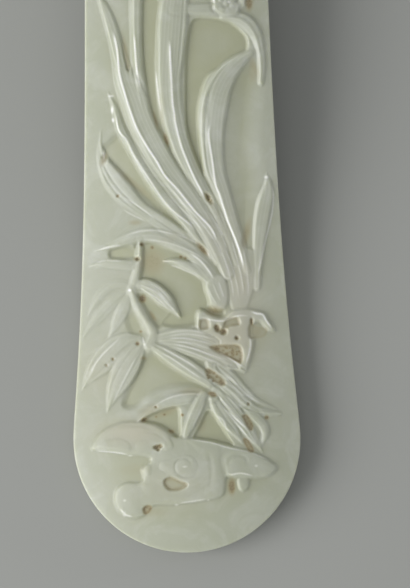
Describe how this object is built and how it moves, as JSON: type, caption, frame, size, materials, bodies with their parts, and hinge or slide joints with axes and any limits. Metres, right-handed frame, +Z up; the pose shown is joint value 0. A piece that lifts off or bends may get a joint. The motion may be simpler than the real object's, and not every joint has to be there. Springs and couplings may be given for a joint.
{
  "type": "jade scepter",
  "caption": "Curved ceremonial stone scepter with a rounded tail, a lobed head and carved long leaves, bamboo, rock and fungus in relief",
  "frame": {"origin": "middle of the footprint, at the height of the table it lies on", "axes": "+Z up out of the carved face, +Y along the scepter from the rounded tail to the head, +X across to the right with the tail nearest the viewer"},
  "size_m": [0.112, 0.4249, 0.0614],
  "materials": {
    "jade": "soft polish"
  },
  "bodies": {
    "root": {"shaft": "jade", "head": "jade", "head_rim": "jade", "bamboo_leaf_arch": "jade", "bamboo_leaf_big_left": "jade", "bamboo_leaf_big_low": "jade", "bamboo_leaf_down": "jade", "bamboo_leaf_fan_low": "jade", "bamboo_leaf_fan_middle": "jade", "bamboo_leaf_fan_top": "jade", "bamboo_leaf_hook": "jade", "bamboo_leaf_inner": "jade", "bamboo_leaf_level": "jade", "bamboo_leaf_long_low": "jade", "bamboo_leaf_long_right": "jade", "bamboo_leaf_right_low": "jade", "bamboo_leaf_right_middle": "jade", "bamboo_leaf_right_top": "jade", "bamboo_leaf_short_low": "jade", "bamboo_stem_lower": "jade", "bamboo_stem_upper": "jade", "blossom_heart": "jade", "blossom_stalk": "jade", "bud_sheath": "jade", "head_heart": "jade", "head_leaf_long": "jade", "head_leaf_right": "jade", "head_leaf_tall": "jade", "head_petals": "jade", "head_stalk": "jade", "leaf_centre": "jade", "leaf_edge": "jade", "leaf_folded": "jade", "leaf_low_left": "jade", "leaf_low_small": "jade", "leaf_outer": "jade", "leaf_outer_fork": "jade", "leaf_short_right": "jade", "leaf_wide_right": "jade", "lingzhi_base": "jade", "lingzhi_cap_left": "jade", "lingzhi_cap_right": "jade", "lingzhi_knob": "jade", "lingzhi_lobe_low": "jade", "lingzhi_scroll": "jade", "lingzhi_tab": "jade", "lingzhi_trunk": "jade", "petal_hanging": "jade", "petal_left": "jade", "petal_right": "jade", "petal_up": "jade", "rock": "jade", "root_stalk": "jade", "upper_bud_high": "jade", "upper_bud_low": "jade", "upper_petals": "jade", "upper_stalk": "jade"}
  },
  "joints": []
}
